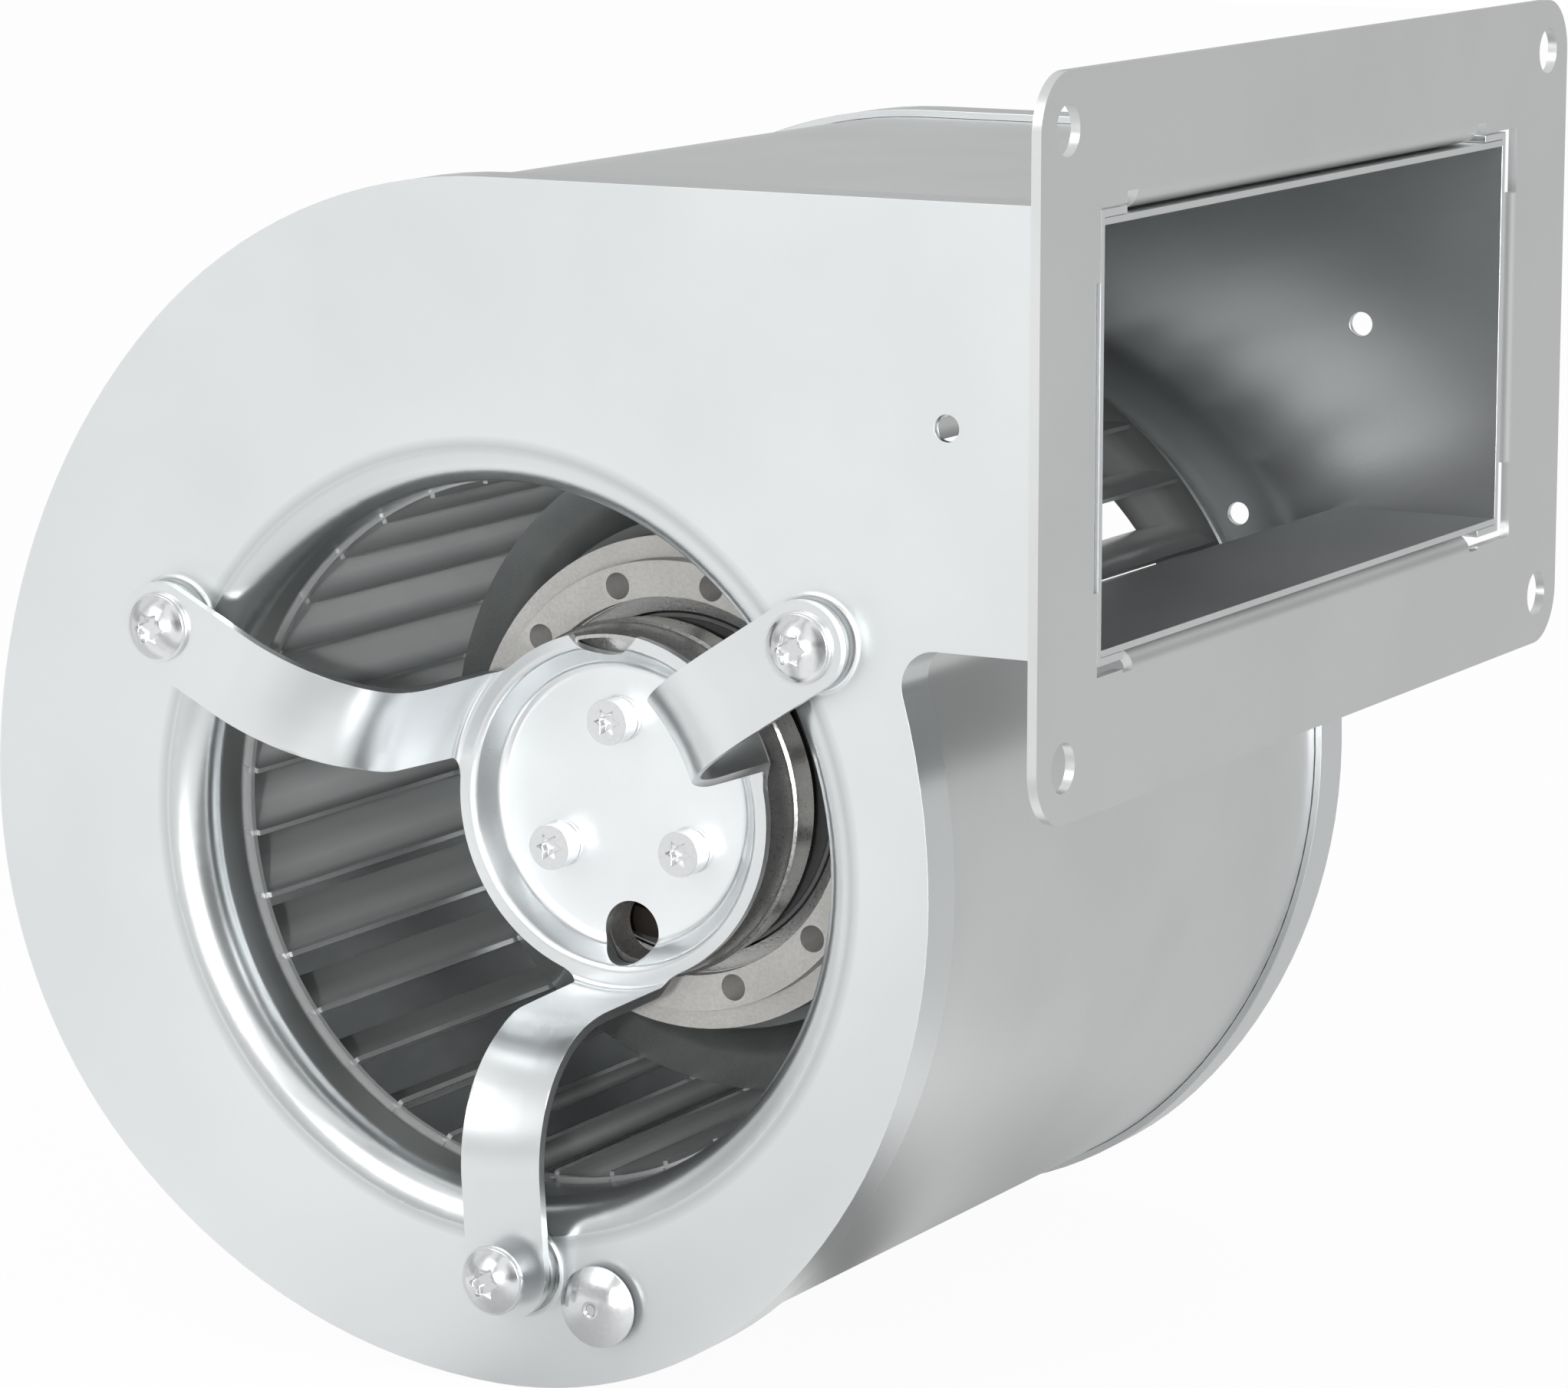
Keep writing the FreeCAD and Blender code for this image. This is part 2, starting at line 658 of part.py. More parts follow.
def arm_screws():
    """The last of the three isn't driven home: its head stands off the arm."""
    arm_y = near_face - s.boss_height - s.bracket_sheet
    solids = []
    for angle in arm_angles:
        seat_y = arm_y - s.last_screw_stand if angle == arm_angles[-1] else arm_y
        centre = polar(s.boss_circle_radius, angle)
        collar = disc(s.arm_head_radius, seat_y - s.arm_flange_height, s.arm_flange_height, centre)
        crown_height = s.arm_head_height - s.arm_flange_height
        crown = dome(s.arm_head_radius - s.arm_flange_step, crown_height, seat_y - s.arm_flange_height, centre)
        solids.append(screw(centre, seat_y, collar.fuse(crown), s.arm_screw_radius - 3 * s.fit_gap,
                            s.arm_screw_length, seat_y - s.arm_head_height,
                            s.arm_drive_radius, s.arm_drive_waist))
    formed("bracket_screws", Part.Compound(solids))


def motor_screws():
    plate_y = plate_outer + s.recess_depth
    screws = []
    washers = []
    for angle in motor_angles:
        centre = polar(s.motor_screw_circle_radius, angle)
        ring = disc(s.washer_radius, plate_y - s.washer_sheet, s.washer_sheet, centre)
        washers.append(ring.cut(drill(s.motor_screw_radius + s.fit_gap, plate_y - s.washer_sheet,
                                      s.washer_sheet, centre)))
        seat_y = plate_y - s.washer_sheet
        head = disc(s.motor_head_radius, seat_y - s.motor_head_height, s.motor_head_height, centre)
        screws.append(screw(centre, seat_y, head, s.motor_screw_radius, s.motor_screw_length,
                            seat_y - s.motor_head_height, s.motor_drive_radius, s.motor_drive_waist))
    formed("motor_screws", Part.Compound(screws))
    formed("motor_screw_washers", Part.Compound(washers))


def plug():
    centre = Vector(axis_point.x + s.plug_beside_axis, 0, axis_z - s.plug_below_axis)
    rim_y = near_face - s.plug_lift - s.plug_rim
    cap = dome(s.plug_radius, s.plug_height, rim_y, centre)
    rim = disc(s.plug_radius, rim_y, s.plug_rim, centre)
    stem = disc(s.plug_stem_radius, near_face - s.plug_lift, s.plug_lift + s.plug_stem_length, centre)
    barb = Part.makeCone(s.plug_stem_radius + s.plug_barb, s.plug_stem_radius - s.plug_taper,
                         s.plug_stem_length - s.housing_sheet - s.fit_gap,
                         Vector(centre.x, near_face + s.housing_sheet + s.fit_gap, centre.z), wheel_axis)
    dimple = disc(s.plug_dimple_radius, rim_y - s.plug_height - s.overrun,
                  s.overrun + s.plug_dimple_depth, centre)
    formed("panel_plug", cap.fuse([rim, stem, barb]).cut(dimple).removeSplitter())


# Motor: fixed pieces
def fixed_motor():
    bore = "bearing_radius + fit_gap"
    tube = "tube_radius"
    blank = turned("cover_blank", rim_text, [
        ("bearing_bore + shaft_clearance", "recess_depth"),
        ("cover_radius - cover_lip_step - cover_lip_wall", "recess_depth"),
        ("cover_radius - cover_lip_step - cover_lip_wall", "fit_gap"),
        ("cover_radius - cover_lip_step", "fit_gap"),
        ("cover_radius - cover_taper", "cover_bulge"),
        ("cover_radius", "2 * cover_bulge"),
        ("cover_radius", "bead_at - bead_width / 2"),
        ("cover_radius + bead_height", "bead_at - bead_width / 4"),
        ("cover_radius + bead_height", "bead_at + bead_width / 4"),
        ("cover_radius", "bead_at + bead_width / 2"),
        ("cover_radius", "recess_depth + cover_depth"),
        ("cover_radius - cover_wall", "recess_depth + cover_depth"),
        ("cover_radius - cover_wall", "recess_depth + cover_floor"),
        (tube, "recess_depth + cover_floor"),
        (tube, "recess_depth + tube_length"),
        (bore, "recess_depth + tube_length"),
        (bore, "recess_depth + rear_bearing_at"),
        ("bearing_radius - spring_wall", "recess_depth + rear_bearing_at"),
        ("bearing_radius - spring_wall", "recess_depth + front_bearing_at + bearing_width + spring_height"),
        (bore, "recess_depth + front_bearing_at + bearing_width + spring_height"),
        (bore, "recess_depth + front_bearing_at"),
        ("bearing_bore + shaft_clearance", "recess_depth + front_bearing_at - bearing_shoulder"),
    ])
    holes = [disc(s.motor_screw_radius + s.fit_gap, motor_front, s.motor_screw_length,
                  polar(s.motor_screw_circle_radius, angle)) for angle in motor_angles]
    holes.append(drill(s.cable_hole_radius, motor_front, s.cover_floor,
                       polar(s.cable_hole_circle_radius, arm_angles[-1])))
    tapped("motor_end_cover", blank, holes)
    for name, at in (("front", "front_bearing_at"), ("rear", "rear_bearing_at")):
        turned(f"{name}_bearing_outer_ring", f"{motor_text} + {at}", [
            ("bearing_radius - bearing_outer_wall", "0"),
            ("bearing_radius", "0"),
            ("bearing_radius", "bearing_width"),
            ("bearing_radius - bearing_outer_wall", "bearing_width"),
        ])
        turned(f"{name}_bearing_inner_ring", f"{motor_text} + {at}", [
            ("bearing_bore + fit_gap", "0"),
            ("bearing_bore + bearing_inner_wall", "0"),
            ("bearing_bore + bearing_inner_wall", "bearing_width"),
            ("bearing_bore + fit_gap", "bearing_width"),
        ])
    turned("bearing_preload_spring", f"{motor_text} + front_bearing_at + bearing_width", [
        ("bearing_radius - spring_wall", "0"),
        ("bearing_radius - fit_gap", "0"),
        ("bearing_radius - fit_gap", "spring_height"),
        ("bearing_radius - spring_wall", "spring_height"),
    ])


def bearing_balls(name, at):
    track = (s.bearing_bore + s.bearing_inner_wall + s.bearing_radius - s.bearing_outer_wall) / 2
    y = motor_front + at + s.bearing_width / 2
    balls = [Part.makeSphere(s.ball_radius, polar(track, i * 360 / ball_count, y)) for i in range(ball_count)]
    formed(f"{name}_bearing_balls", Part.Compound(balls))


def stator():
    start = motor_front + s.core_at
    ring = disc(s.core_radius, start, s.core_length)
    ring = ring.cut(drill(s.tube_radius + s.fit_gap, start, s.core_length))
    for i in range(slot_count):
        ring = ring.cut(drill(s.slot_radius, start, s.core_length,
                              polar(s.slot_circle_radius, i * 360 / slot_count)))
    formed("stator_core", ring)
    wire = s.slot_radius - 3 * s.fit_gap
    end = s.insulator_sheet + s.coil_height
    bars = [disc(wire, start - end, s.core_length + 2 * end, polar(s.slot_circle_radius, i * 360 / slot_count))
            for i in range(slot_count)]
    for y in (start - end, start + s.core_length + s.insulator_sheet):
        head = disc(s.slot_circle_radius + s.slot_radius, y, s.coil_height)
        bars.append(head.cut(drill(s.slot_circle_radius - s.slot_radius, y, s.coil_height)))
    winding = bars[0].fuse(bars[1:])
    formed("stator_winding", winding.removeSplitter())
    for name, y in (("front", start - s.insulator_sheet), ("rear", start + s.core_length)):
        plate = disc(s.core_radius - s.insulator_step, y, s.insulator_sheet)
        plate = plate.cut(drill(s.tube_radius + s.fit_gap, y, s.insulator_sheet))
        for i in range(slot_count):
            plate = plate.cut(drill(s.slot_radius, y, s.insulator_sheet,
                                    polar(s.slot_circle_radius, i * 360 / slot_count)))
        formed(f"{name}_insulator", plate)


# Motor: turning pieces
def rotor():
    core_bore = "core_radius + air_gap"
    cup_bore = f"{core_bore} + cage_wall"
    end = "rotor_ring_at + rotor_step_depth + rotor_length - rotor_end_wall"
    cup = turned("rotor_cup_blank", motor_text, [
        ("rotor_mouth_radius", "rotor_ring_at"),
        ("rotor_step_radius", "rotor_ring_at"),
        ("rotor_step_radius", "rotor_ring_at + rotor_step_depth"),
        ("rotor_radius", "rotor_ring_at + rotor_step_depth"),
        ("rotor_radius", f"{end} + rotor_end_wall"),
        ("bearing_bore", f"{end} + rotor_end_wall"),
        ("bearing_bore", f"{end} - rotor_hub_depth"),
        ("rotor_hub_radius", f"{end} - rotor_hub_depth"),
        ("rotor_hub_radius", end),
        (cup_bore, end),
        (cup_bore, "rotor_ring_at + rotor_ring_sheet"),
        ("rotor_mouth_radius", "rotor_ring_at + rotor_ring_sheet"),
    ])
    y = motor_front + s.rotor_ring_at
    tapped("rotor_cup", cup, [disc(s.balance_hole_radius, y, s.balance_hole_depth,
                                   polar(s.balance_circle_radius, s.balance_phase + i * 360 / balance_hole_count))
                              for i in range(balance_hole_count)])
    turned("rotor_cage", motor_text, [
        (core_bore, "core_at"),
        (cup_bore, "core_at"),
        (cup_bore, "core_at + core_length"),
        (core_bore, "core_at + core_length"),
    ])
    groove = "front_bearing_at - clip_width - fit_gap"
    turned("rotor_shaft", motor_text, [
        ("0", "shaft_front"),
        ("bearing_bore - shaft_chamfer", "shaft_front"),
        ("bearing_bore", "shaft_front + shaft_chamfer"),
        ("bearing_bore", groove),
        ("bearing_bore - clip_groove_depth", groove),
        ("bearing_bore - clip_groove_depth", "front_bearing_at - fit_gap / 2"),
        ("bearing_bore", "front_bearing_at - fit_gap / 2"),
        ("bearing_bore", f"{end} + rotor_end_wall"),
        ("0", f"{end} + rotor_end_wall"),
    ])


def retaining_clip():
    y = motor_front + s.front_bearing_at - s.clip_width - s.fit_gap / 2
    ring = disc(s.clip_radius, y, s.clip_width)
    ring = ring.cut(drill(s.bearing_bore - s.clip_groove_depth + s.fit_gap, y, s.clip_width))
    gap = Part.makeBox(s.clip_radius + s.overrun, s.clip_width + 2 * s.overrun, s.bearing_bore,
                       Vector(axis_point.x, y - s.overrun, axis_point.z - s.bearing_bore / 2))
    formed("shaft_retaining_clip", ring.cut(gap))


# Wheel: hub web, end rings and forward-curved blades
def blade_arc(offset):
    """Centre line of one blade, shifted by offset, as start, middle and end points and a centre."""
    inner = Vector(blade_inner, 0, 0)
    sweep = math.radians(-s.blade_sweep)
    tip = s.wheel_radius - s.blade_sheet
    outer = Vector(tip * math.cos(sweep), 0, tip * math.sin(sweep))
    chord = outer - inner
    normal = Vector(-chord.z, 0, chord.x).normalize()
    middle = (inner + outer) * 0.5 + normal * s.blade_bow
    centre = arc(inner, middle, outer).Curve.Center
    return [centre + (p - centre).normalize() * ((p - centre).Length + offset)
            for p in (inner, middle, outer)]


def blade_face(y):
    half = s.blade_sheet / 2
    a = blade_arc(half)
    b = blade_arc(-half)
    edges = [arc(*a), line(a[2], b[2]), arc(*b), line(b[0], a[0])]
    face = Part.Face(Part.Wire(Part.__sortEdges__(edges)))
    face.translate(Vector(0, y, 0))
    return face


def wheel():
    middle = s.housing_shift
    half = wheel_length / 2
    inside = half - s.ring_sheet
    body = blade_face(-inside).extrude(Vector(0, 2 * inside, 0))
    tab = blade_face(-half - s.tab_proud).extrude(Vector(0, 2 * (half + s.tab_proud), 0))
    start = Vector(0, -wheel_length, 0)
    keep = Part.makeCylinder(blade_inner + s.tab_length, 2 * wheel_length, start, wheel_axis)
    drop = Part.makeCylinder(ring_bore + s.tab_margin, 2 * wheel_length, start, wheel_axis)
    blade = body.fuse(tab.common(keep).cut(drop)).removeSplitter()
    blades = []
    for i in range(blade_count):
        copy = blade.copy()
        copy.rotate(Vector(0, 0, 0), wheel_axis, -(s.blade_phase + i * 360 / blade_count))
        blades.append(copy)
    formed("blades", Part.Compound(blades), axis_point + Vector(0, middle, 0))
    for name, y in (("near", -half), ("far", half - s.ring_sheet)):
        ring = Part.makeCylinder(s.wheel_radius, s.ring_sheet, Vector(0, y, 0), wheel_axis)
        cutter_start = Vector(0, y - s.overrun, 0)
        cutter_length = s.ring_sheet + 2 * s.overrun
        ring = ring.cut(Part.makeCylinder(ring_bore, cutter_length, cutter_start, wheel_axis))
        ring = ring.cut(Part.Compound(blades))
        formed(f"{name}_end_ring", ring, axis_point + Vector(0, middle, 0))


def web():
    centre = "web_hub_length / 2"
    low = f"{centre} - web_sheet / 2"
    high = f"{centre} + web_sheet / 2"
    hub = "rotor_radius + fit_gap"
    rim = "wheel_radius - blade_depth - blade_sheet / 2 - fit_gap"
    edge = f"{hub} + web_hub_wall"
    foot = f"{edge} + web_foot_width"
    flare = f"{edge} + web_flare_width"
    turned("impeller_web", "housing_shift - web_hub_length / 2", [
        (hub, "0"),
        (edge, "0"),
        (foot, "web_foot_height"),
        (flare, "web_flare_height"),
        (f"{edge} + web_reach", low),
        (rim, low),
        (rim, high),
        (f"{edge} + web_reach", high),
        (flare, "web_hub_length - web_flare_height"),
        (foot, "web_hub_length - web_foot_height"),
        (edge, "web_hub_length"),
        (hub, "web_hub_length"),
    ])


near_panel()
far_panel()
wrap()
flange()
bracket()
arm_screws()
motor_screws()
plug()
fixed_motor()
bearing_balls("front", s.front_bearing_at)
bearing_balls("rear", s.rear_bearing_at)
stator()
rotor()
retaining_clip()
wheel()
web()

doc.recompute()
for thing in doc.Objects:
    if "Invalid" in thing.State or "Error" in thing.State:
        raise RuntimeError(f"{thing.Label} failed: {thing.State}")
for piece in pieces:
    shape = piece.Shape
    if shape.isNull() or not shape.isValid():
        raise RuntimeError(f"{piece.Label} has no valid shape")
for piece in pieces:
    piece.Shape.exportStep(f"parts/{piece.Label}.step")
    box = piece.Shape.BoundBox
    print(f"{piece.Label}: {len(piece.Shape.Solids)} solids, volume {piece.Shape.Volume:.1f}, "
          f"Y {box.YMin:.1f} to {box.YMax:.1f}")
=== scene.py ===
import json
import math
import bmesh
import bpy
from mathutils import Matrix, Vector


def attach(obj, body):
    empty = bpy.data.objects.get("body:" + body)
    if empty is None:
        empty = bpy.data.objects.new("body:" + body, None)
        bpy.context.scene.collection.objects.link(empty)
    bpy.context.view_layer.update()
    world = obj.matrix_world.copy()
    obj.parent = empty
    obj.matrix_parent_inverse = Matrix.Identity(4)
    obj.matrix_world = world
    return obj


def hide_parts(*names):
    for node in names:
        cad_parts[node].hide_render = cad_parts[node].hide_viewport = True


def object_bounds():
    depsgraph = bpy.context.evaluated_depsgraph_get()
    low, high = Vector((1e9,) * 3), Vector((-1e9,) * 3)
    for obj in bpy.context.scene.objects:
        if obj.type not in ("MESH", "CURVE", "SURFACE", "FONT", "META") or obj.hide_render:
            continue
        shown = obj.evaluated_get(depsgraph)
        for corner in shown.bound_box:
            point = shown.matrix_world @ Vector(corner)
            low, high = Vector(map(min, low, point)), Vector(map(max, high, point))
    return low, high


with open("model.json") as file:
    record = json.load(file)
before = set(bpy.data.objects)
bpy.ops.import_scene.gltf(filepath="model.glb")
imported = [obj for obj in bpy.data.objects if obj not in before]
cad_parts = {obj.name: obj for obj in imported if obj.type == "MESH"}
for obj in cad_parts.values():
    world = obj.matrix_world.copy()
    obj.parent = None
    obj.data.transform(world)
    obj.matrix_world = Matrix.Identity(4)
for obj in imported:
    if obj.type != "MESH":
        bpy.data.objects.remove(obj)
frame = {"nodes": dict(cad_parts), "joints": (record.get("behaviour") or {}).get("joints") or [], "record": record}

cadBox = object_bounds()
scene = bpy.context.scene
scene.view_settings.view_transform = "Standard"


# Camera, as fitted to the photograph: metres and degrees, with the lens and its sensor in millimetres
cameraSpec = {"place": (0.3683, -0.8232, 0.1152), "azimuth": 29.336, "elevation": 10.311,
              "lens": 136.2, "sensor": 36.0}


def addCamera(spec):
    data = bpy.data.cameras.new("camera")
    data.lens = spec["lens"]
    data.sensor_width = spec["sensor"]
    data.sensor_fit = "HORIZONTAL"
    camera = bpy.data.objects.new("camera", data)
    scene.collection.objects.link(camera)
    azimuth = math.radians(spec["azimuth"])
    elevation = math.radians(spec["elevation"])
    level = math.cos(elevation)
    ahead = Vector((-math.sin(azimuth) * level, math.cos(azimuth) * level, -math.sin(elevation)))
    camera.location = spec["place"]
    camera.rotation_euler = ahead.to_track_quat("-Z", "Y").to_euler()
    scene.camera = camera


addCamera(cameraSpec)
print("camera placed")


# The wheel turns about a line along Y, through the joint's place
wheelAxis = Vector(frame["joints"][0]["pos_m"])
wheelAxis.y = 0
nearPanelFace = -0.0769  # Y of the near side panel's outer face
dishFloor = -0.0390  # Y of the front of the bracket's dish, where the motor screws stand
planeBand = 0.0001  # how far from such a plane a point still counts as on it


# Shader maths: a wire wraps a socket, and an expression written with wires adds its Math nodes
class Wire:
    def __init__(self, net, socket):
        self.net = net
        self.socket = socket

    def __add__(self, other):
        return self.net.calculate("ADD", self, other)

    __radd__ = __add__

    def __mul__(self, other):
        return self.net.calculate("MULTIPLY", self, other)

    __rmul__ = __mul__

    def __sub__(self, other):
        return self.net.calculate("SUBTRACT", self, other)

    def __rsub__(self, other):
        return self.net.calculate("SUBTRACT", other, self)


# The nodes of a material or of the world, with the coordinates that its patterns read
class Net:
    def __init__(self, owner, coordinates="Object"):
        owner.use_nodes = True
        self.owner = owner
        self.tree = owner.node_tree
        self.spot = self.add("ShaderNodeTexCoord", {}, {}, coordinates)

    # Any node: its type, its settings, the values or wires of its sockets, and the output wanted
    def add(self, kind, settings, values, out=0):
        node = self.tree.nodes.new(kind)
        for key, value in settings.items():
            if key == "stops":
                self.setStops(node.color_ramp.elements, value)
            else:
                setattr(node, key, value)
        for key, value in values.items():
            self.plug(node.inputs[key], value)
        return Wire(self, node.outputs[out])

    # A ramp's stops are pairs of a place from 0 to 1 and a level of grey
    def setStops(self, elements, stops):
        while len(elements) < len(stops):
            elements.new(0.5)
        for element, (place, level) in zip(elements, stops):
            element.position = place
            element.color = (level, level, level, 1)

    def plug(self, socket, value):
        if isinstance(value, Wire):
            self.tree.links.new(value.socket, socket)
        elif socket.type == "RGBA":
            socket.default_value = (*value, 1)
        else:
            socket.default_value = value

    def set(self, name, value):
        self.plug(self.tree.nodes["Principled BSDF"].inputs[name], value)

    def calculate(self, operation, *values):
        return self.add("ShaderNodeMath", {"operation": operation}, dict(enumerate(values)))

    # Levels from 0 to 1, about a middle of 0.5
    def noise(self, scale, detail):
        values = {"Vector": self.spot, "Scale": scale, "Detail": detail}
        return self.add("ShaderNodeTexNoise", {}, values, "Fac")

    def ramp(self, value, stops):
        return self.add("ShaderNodeValToRGB", {"stops": stops}, {"Fac": value})

    # Inputs 6 and 7 and output 2 are the Mix node's colours
    def mix(self, factor, first, second):
        return self.add("ShaderNodeMix", {"data_type": "RGBA"}, {0: factor, 6: first, 7: second}, 2)

    def bump(self, height, distance, strength):
        values = {"Height": height, "Distance": distance, "Strength": strength}
        return self.add("ShaderNodeBump", {}, values)

    def axis(self, letter):
        return self.add("ShaderNodeSeparateXYZ", {}, {0: self.spot}, letter)

    def distance(self, across, along):
        return self.calculate("SQRT", across * across + along * along)

    # A level by distance from the wheel's axis, in metres, for painted shade and highlight bands
    def rings(self, stops):
        reach = self.distance(self.axis("X") - wheelAxis.x, self.axis("Z") - wheelAxis.z)
        low, high = stops[0][0], stops[-1][0]
        spread = [((place - low) / (high - low), level) for place, level in stops]
        return self.ramp((reach - low) * (1 / (high - low)), spread)

    # A value that counts only on the plane at the given Y
    def onPlane(self, place, value):
        return self.calculate("COMPARE", self.axis("Y"), place, planeBand) * value


# Zinc-coated sheet: fine grain over faint clouds, where sparkle is the grain's share. Some pieces also
# have painted shade and highlight bands in rings about the wheel's axis, a duller plane (flat: its Y and the
# roughness that it adds) and painted shade on what stands in front of the near panel by more than a length
# (raised).
zincCommon = {"metal": 0.95, "cloudDetail": 3.0, "grainDetail": 1.0, "grainRough": 0.3, "cloudRough": 0.05,
              "grainDepth": 0.00003, "raisedShadeShare": 0.6, "clouding": [(0.34, 0.0), (0.60, 1.0)]}
zincSpec = {
    "panelZinc": {"tone": (0.800, 0.822, 0.830), "dark": (0.770, 0.795, 0.803), "rough": 0.22,
                  "grain": 3200.0, "cloud": 26.0, "sparkle": 0.12, "flat": (nearPanelFace, 0.20),
                  # painted shade bands on the nozzle roll round the inlet
                  "rings": [(0.0540, 0.25), (0.0562, 0.65), (0.0580, 0.95), (0.0598, 0.90),
                            (0.0612, 0.60), (0.0628, 1.0)],
                  "ringDark": (0.30, 0.32, 0.325), "raised": 0.0003},
    "wrapZinc": {"tone": (0.790, 0.800, 0.803), "dark": (0.745, 0.757, 0.760), "rough": 0.30,
                 "grain": 3200.0, "cloud": 30.0, "sparkle": 0.16},
    "flangeZinc": {"tone": (0.790, 0.797, 0.797), "dark": (0.755, 0.763, 0.763), "rough": 0.34,
                   "grain": 3000.0, "cloud": 34.0, "sparkle": 0.18},
    "bracketZinc": {"tone": (0.800, 0.820, 0.828), "dark": (0.765, 0.787, 0.795), "rough": 0.29,
                    "grain": 3400.0, "cloud": 40.0, "sparkle": 0.12, "flat": (dishFloor, 0.18)},
    "wheelZinc": {"tone": (0.86, 0.875, 0.875), "dark": (0.82, 0.835, 0.835), "rough": 0.22,
                  "grain": 3000.0, "cloud": 60.0, "sparkle": 0.25, "metal": 0.5,
                  # a painted highlight band along the blades, with painted shade on either side
                  "rings": [(0.0535, 0.15), (0.0552, 0.45), (0.0572, 1.0), (0.0605, 1.0),
                            (0.0635, 0.45), (0.0668, 0.20)],
                  "ringDark": (0.15, 0.16, 0.162)},
    # painted shade: the web's zinc is dark grey for the shade that falls inside the wheel
    "webZinc": {"tone": (0.24, 0.25, 0.25), "dark": (0.19, 0.20, 0.20), "rough": 0.38,
                "grain": 3000.0, "cloud": 60.0, "sparkle": 0.3, "metal": 0.8},
    # painted shade: the faces inside the housing are dark for the shade within it
    "insideZinc": {"tone": (0.23, 0.243, 0.245), "dark": (0.12, 0.13, 0.13), "rough": 0.38,
                   "grain": 1500.0, "cloud": 40.0, "sparkle": 0.6},
}


def zinc(name, spec):
    spec = {**zincCommon, **spec}
    net = Net(bpy.data.materials.new(name))
    clouds = net.noise(spec["cloud"], spec["cloudDetail"])
    grain = net.noise(spec["grain"], spec["grainDetail"])
    mask = clouds * (1 - spec["sparkle"]) + grain * spec["sparkle"]
    colour = net.mix(net.ramp(mask, spec["clouding"]), spec["dark"], spec["tone"])
    # Painted shade and highlight bands in rings about the wheel's axis
    if "rings" in spec:
        colour = net.mix(net.rings(spec["rings"]), spec["ringDark"], colour)
    # Painted shade on what stands in front of the near panel, in the same dark tone as the painted rings
    if "raised" in spec:
        raised = net.calculate("LESS_THAN", net.axis("Y"), nearPanelFace - spec["raised"])
        colour = net.mix(raised * spec["raisedShadeShare"], colour, spec["ringDark"])
    rough = spec["rough"] + (grain - 0.5) * spec["grainRough"] * spec["sparkle"]
    rough = rough + (clouds - 0.5) * spec["cloudRough"]
    if "flat" in spec:
        rough = rough + net.onPlane(*spec["flat"])
    net.set("Base Color", colour)
    net.set("Metallic", spec["metal"])
    net.set("Roughness", rough)
    net.set("Normal", net.bump(grain, spec["grainDepth"], spec["sparkle"]))
    return net.owner


# Cast metal: pits over clouds of two tones
castCommon = {"pit": 1900.0, "cloud": 90.0, "detail": 3.0, "pitShare": 0.6, "pitRough": 0.2,
              "pitDepth": 0.00008, "pitStrength": 0.8, "clouding": [(0.36, 0.0), (0.64, 1.0)]}
castSpec = {
    "castAluminium": {"tone": (0.56, 0.56, 0.55), "dark": (0.49, 0.49, 0.48), "rough": 0.30, "metal": 0.9},
    "sandyRotorCasting": {"tone": (0.50, 0.49, 0.475), "dark": (0.41, 0.405, 0.39), "rough": 0.55,
                          "metal": 0.35},
    # painted shade: the bore inside the rotor cup is near black
    "darkRotorBore": {"tone": (0.10, 0.10, 0.098), "dark": (0.06, 0.06, 0.058), "rough": 0.5, "metal": 0.3},
}


def castMetal(name, spec):
    spec = {**castCommon, **spec}
    net = Net(bpy.data.materials.new(name))
    pits = net.noise(spec["pit"], spec["detail"])
    clouds = net.noise(spec["cloud"], spec["detail"])
    mask = pits * spec["pitShare"] + clouds * (1 - spec["pitShare"])
    net.set("Base Color", net.mix(net.ramp(mask, spec["clouding"]), spec["dark"], spec["tone"]))
    net.set("Metallic", spec["metal"])
    net.set("Roughness", spec["rough"] + (pits - 0.5) * spec["pitRough"])
    net.set("Normal", net.bump(pits, spec["pitDepth"], spec["pitStrength"]))
    return net.owner


# Smooth metal with a fine grain: screws, washers, plug and the steel inside the motor, and the copper winding,
# painted near black for the shade within the motor
smoothCommon = {"grain": 1400.0, "detail": 2.0, "darkShare": 0.88, "metal": 0.95, "grainRough": 0.12,
                "grainDepth": 0.00002, "grainStrength": 0.4}
smoothSpec = {
    "brightZincScrew": {"tone": (0.80, 0.81, 0.82), "rough": 0.18},
    # painted shade: the copper winding is near black
    "windingCopper": {"tone": (0.06, 0.05, 0.045), "rough": 0.5},
    "coreSteel": {"tone": (0.42, 0.42, 0.43), "rough": 0.4},
}


def smoothMetal(name, spec):
    spec = {**smoothCommon, **spec}
    net = Net(bpy.data.materials.new(name))
    grain = net.noise(spec["grain"], spec["detail"])
    dark = tuple(spec["darkShare"] * part for part in spec["tone"])
    net.set("Base Color", net.mix(grain, dark, spec["tone"]))
    net.set("Metallic", spec["metal"])
    net.set("Roughness", spec["rough"] + (grain - 0.5) * spec["grainRough"])
    net.set("Normal", net.bump(grain, spec["grainDepth"], spec["grainStrength"]))
    return net.owner


plasticSpec = {
    "blackInsulator": {"tone": (0.05, 0.05, 0.05), "darkShare": 0.7, "grain": 900.0, "detail": 2.0,
                       "rough": 0.5, "grainRough": 0.2},
}


def dullPlastic(name, spec):
    net = Net(bpy.data.materials.new(name))
    grain = net.noise(spec["grain"], spec["detail"])
    dark = tuple(spec["darkShare"] * part for part in spec["tone"])
    net.set("Base Color", net.mix(grain, dark, spec["tone"]))
    net.set("Roughness", spec["rough"] + grain * spec["grainRough"])
    return net.owner


